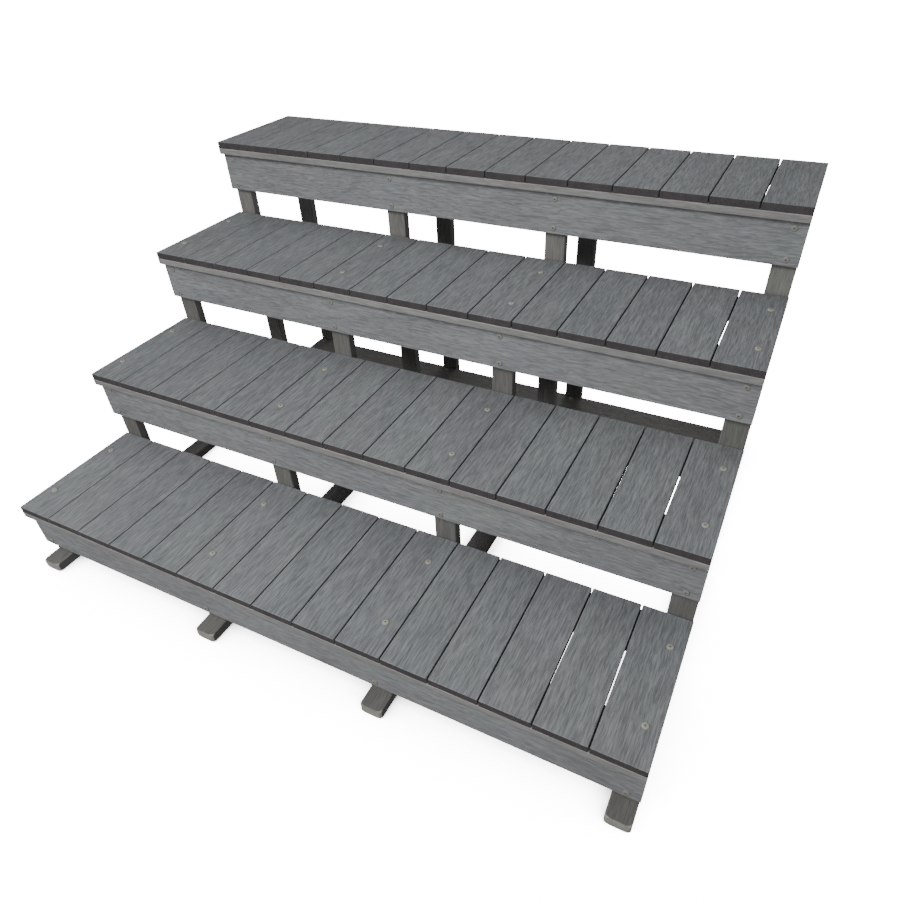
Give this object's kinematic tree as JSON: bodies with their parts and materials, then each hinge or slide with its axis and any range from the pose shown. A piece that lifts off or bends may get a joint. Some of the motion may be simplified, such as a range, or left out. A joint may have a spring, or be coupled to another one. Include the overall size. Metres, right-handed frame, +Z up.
{
  "type": "spa steps",
  "caption": "Free-standing spa steps: deck-board treads with open risers and fascia boards, screwed to trestles of posts, bearers and floor runners.",
  "frame": {"origin": "middle of the footprint, on the floor", "axes": "+X to the right along the treads, +Y from the lowest step towards the highest and the spa, +Z up"},
  "size_m": [2.1406, 1.7626, 1.111],
  "materials": {
    "tread_board": "blue-grey wood-plastic composite, embossed wood grain along each board",
    "cleat_board": "grey wood-plastic composite, embossed wood grain along the board",
    "fascia_board": "grey wood-plastic composite, wavy embossed wood grain along the board",
    "frame_stock": "dark grey wood-plastic composite, brushed lengthways",
    "capped_screw": "pale beige coated washer-head screw",
    "plated_screw": "plated countersunk screw"
  },
  "bodies": {
    "root": {"step_1_boards": "tread_board", "step_2_boards": "tread_board", "step_3_boards": "tread_board", "step_4_boards": "tread_board", "step_1_front_cleat": "cleat_board", "step_1_back_cleat": "cleat_board", "step_2_front_cleat": "cleat_board", "step_2_back_cleat": "cleat_board", "step_3_front_cleat": "cleat_board", "step_3_back_cleat": "cleat_board", "step_4_front_cleat": "cleat_board", "step_4_back_cleat": "cleat_board", "step_1_fascia": "fascia_board", "step_2_fascia": "fascia_board", "step_3_fascia": "fascia_board", "step_4_fascia": "fascia_board", "trestle_a_runner": "frame_stock", "trestle_a_post_1": "frame_stock", "trestle_a_post_2": "frame_stock", "trestle_a_post_3": "frame_stock", "trestle_a_post_4": "frame_stock", "trestle_a_rear_post": "frame_stock", "trestle_a_bearer_1": "frame_stock", "trestle_a_bearer_2": "frame_stock", "trestle_a_bearer_3": "frame_stock", "trestle_a_bearer_4": "frame_stock", "trestle_b_runner": "frame_stock", "trestle_b_post_1": "frame_stock", "trestle_b_post_2": "frame_stock", "trestle_b_post_3": "frame_stock", "trestle_b_post_4": "frame_stock", "trestle_b_rear_post": "frame_stock", "trestle_b_bearer_1": "frame_stock", "trestle_b_bearer_2": "frame_stock", "trestle_b_bearer_3": "frame_stock", "trestle_b_bearer_4": "frame_stock", "trestle_c_runner": "frame_stock", "trestle_c_post_1": "frame_stock", "trestle_c_post_2": "frame_stock", "trestle_c_post_3": "frame_stock", "trestle_c_post_4": "frame_stock", "trestle_c_rear_post": "frame_stock", "trestle_c_bearer_1": "frame_stock", "trestle_c_bearer_2": "frame_stock", "trestle_c_bearer_3": "frame_stock", "trestle_c_bearer_4": "frame_stock", "trestle_d_runner": "frame_stock", "trestle_d_post_1": "frame_stock", "trestle_d_post_2": "frame_stock", "trestle_d_post_3": "frame_stock", "trestle_d_post_4": "frame_stock", "trestle_d_rear_post": "frame_stock", "trestle_d_bearer_1": "frame_stock", "trestle_d_bearer_2": "frame_stock", "trestle_d_bearer_3": "frame_stock", "trestle_d_bearer_4": "frame_stock", "rear_rail": "frame_stock", "tread_screws": "capped_screw", "facing_screws": "capped_screw", "countersunk_screws": "plated_screw"}
  },
  "joints": []
}
